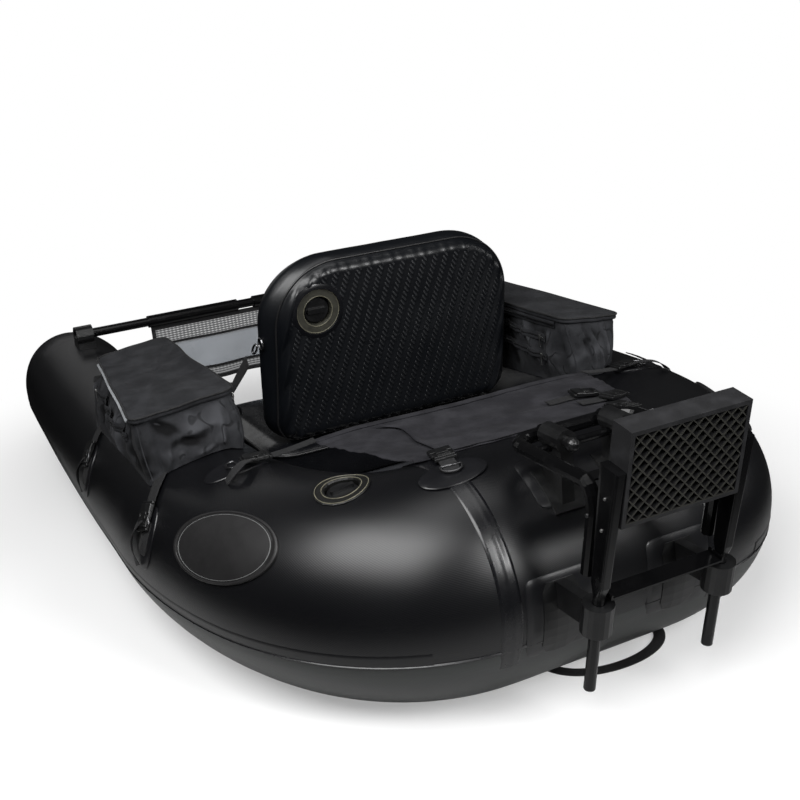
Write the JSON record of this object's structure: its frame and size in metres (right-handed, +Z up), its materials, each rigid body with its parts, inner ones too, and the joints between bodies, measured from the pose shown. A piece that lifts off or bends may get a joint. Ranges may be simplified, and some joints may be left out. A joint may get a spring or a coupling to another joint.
{
  "type": "inflatable float tube with motor mount",
  "caption": "Inflatable U-shaped float tube with a padded seat and folding backrest, two saddle bags, a crossbar with a mesh apron and a raked motor mount at the stern.",
  "frame": {"origin": "on the ground, on the centre plane, half way between the bow tips and the motor board's stern edge", "axes": "+Y to the bow, +X to starboard, +Z up"},
  "size_m": [1.1766, 1.9936, 0.6122],
  "materials": {
    "pvc_black": "satin coated fabric",
    "nylon_black": "plain woven nylon",
    "webbing_black": "woven webbing",
    "plastic_black": "moulded",
    "tube_black": "gloss black coating",
    "valve_olive": "moulded",
    "mesh_grey": "open mesh",
    "steel": "plated"
  },
  "bodies": {
    "hull": {"hull_tube": "pvc_black", "seam_tape_port": "pvc_black", "seam_tape_starboard": "pvc_black", "badge_patch_port": "pvc_black", "badge_patch_starboard": "pvc_black", "port_valve_base": "valve_olive", "starboard_valve_base": "valve_olive", "seat_floor": "nylon_black", "seat_cushion": "pvc_black", "hinge_flap": "webbing_black", "backrest_strap_port": "webbing_black", "backrest_strap_starboard": "webbing_black", "bag_port": "nylon_black", "bag_starboard": "nylon_black", "bag_strap_port_rear": "webbing_black", "bag_strap_port_front": "webbing_black", "bag_strap_starboard_rear": "webbing_black", "bag_strap_starboard_front": "webbing_black", "stern_cover": "nylon_black", "cover_patch_port": "webbing_black", "cover_patch_starboard": "webbing_black", "cover_strap_port": "webbing_black", "cover_strap_starboard": "webbing_black", "stern_strap_port": "webbing_black", "stern_strap_starboard": "webbing_black", "bar_socket_port": "plastic_black", "bar_socket_starboard": "plastic_black", "bar_sleeve_port": "tube_black", "bar_sleeve_starboard": "tube_black", "bar_centre": "tube_black", "apron": "mesh_grey", "motor_board": "plastic_black", "mount_post_port": "tube_black", "mount_post_starboard": "tube_black", "ring_bracket_port": "plastic_black", "ring_bracket_starboard": "plastic_black", "tie_strip": "tube_black", "saddle_frame": "tube_black", "cross_rod": "tube_black", "mount_boss_port": "plastic_black", "mount_boss_starboard": "plastic_black", "carry_handle": "webbing_black"},
    "folding_back": {"backrest": "pvc_black", "backrest_valve_base": "valve_olive", "backrest_ring_port": "steel", "backrest_ring_starboard": "steel"},
    "back_cap": {"backrest_valve_cap": "plastic_black"},
    "port_cap": {"port_valve_cap": "plastic_black"},
    "starboard_cap": {"starboard_valve_cap": "plastic_black"},
    "port_stem": {"port_valve_stem": "steel"},
    "starboard_stem": {"starboard_valve_stem": "steel"},
    "port_lid": {"bag_lid_port": "nylon_black"},
    "starboard_lid": {"bag_lid_starboard": "nylon_black"},
    "port_pull": {"zip_pull_port": "steel"},
    "starboard_pull": {"zip_pull_starboard": "steel"},
    "port_pin": {"mount_pin_port": "plastic_black"},
    "starboard_pin": {"mount_pin_starboard": "plastic_black"},
    "port_bar_end": {"bar_end_port": "tube_black"},
    "starboard_bar_end": {"bar_end_starboard": "tube_black"}
  },
  "joints": [
    {"name": "backrest_fold", "type": "hinge", "parent": "hull", "child": "folding_back", "pos_m": [0.014, 0.0092, 0.2531], "axis": [-1, 0, 0], "range_deg": [0, 95]},
    {"name": "back_cap_twist", "type": "hinge", "parent": "folding_back", "child": "back_cap", "pos_m": [-0.146, -0.10669, 0.50602], "axis": [0, -0.9928, -0.12], "range_deg": [0, 90]},
    {"name": "port_cap_twist", "type": "hinge", "parent": "hull", "child": "port_cap", "pos_m": [-0.33104, -0.57679, 0.35105], "axis": [-0.1384, -0.053, 0.989], "range_deg": [0, 90]},
    {"name": "starboard_cap_twist", "type": "hinge", "parent": "hull", "child": "starboard_cap", "pos_m": [0.43754, 0.19865, 0.30232], "axis": [0.0698, 0.0065, 0.9975], "range_deg": [0, 90]},
    {"name": "port_stem_press", "type": "slide", "parent": "hull", "child": "port_stem", "axis": [0.1384, 0.053, -0.989], "range_m": [0, 0.005], "stiffness_N_per_m": 150},
    {"name": "starboard_stem_press", "type": "slide", "parent": "hull", "child": "starboard_stem", "axis": [-0.0698, -0.0065, -0.9975], "range_m": [0, 0.005], "stiffness_N_per_m": 150},
    {"name": "port_lid_open", "type": "hinge", "parent": "hull", "child": "port_lid", "pos_m": [-0.5165, 0.0302, 0.3938], "axis": [-0.1273, -0.9919, 0], "range_deg": [0, 90]},
    {"name": "starboard_lid_open", "type": "hinge", "parent": "hull", "child": "starboard_lid", "pos_m": [0.408, -0.0653, 0.4168], "axis": [-0.0406, 0.9992, 0], "range_deg": [0, 90]},
    {"name": "port_pull_slide", "type": "slide", "parent": "hull", "child": "port_pull", "axis": [0.0115, 0.9999, 0], "range_m": [0, 0.3]},
    {"name": "starboard_pull_slide", "type": "slide", "parent": "hull", "child": "starboard_pull", "axis": [0, 1, 0], "range_m": [0, 0.28]},
    {"name": "port_pin_pull", "type": "slide", "parent": "hull", "child": "port_pin", "axis": [0, -1, 0], "range_m": [0, 0.045]},
    {"name": "starboard_pin_pull", "type": "slide", "parent": "hull", "child": "starboard_pin", "axis": [0, -1, 0], "range_m": [0, 0.045]},
    {"name": "port_bar_retract", "type": "slide", "parent": "hull", "child": "port_bar_end", "axis": [1, 0, 0], "range_m": [0, 0.045]},
    {"name": "starboard_bar_retract", "type": "slide", "parent": "hull", "child": "starboard_bar_end", "axis": [-1, 0, 0], "range_m": [0, 0.045]}
  ]
}
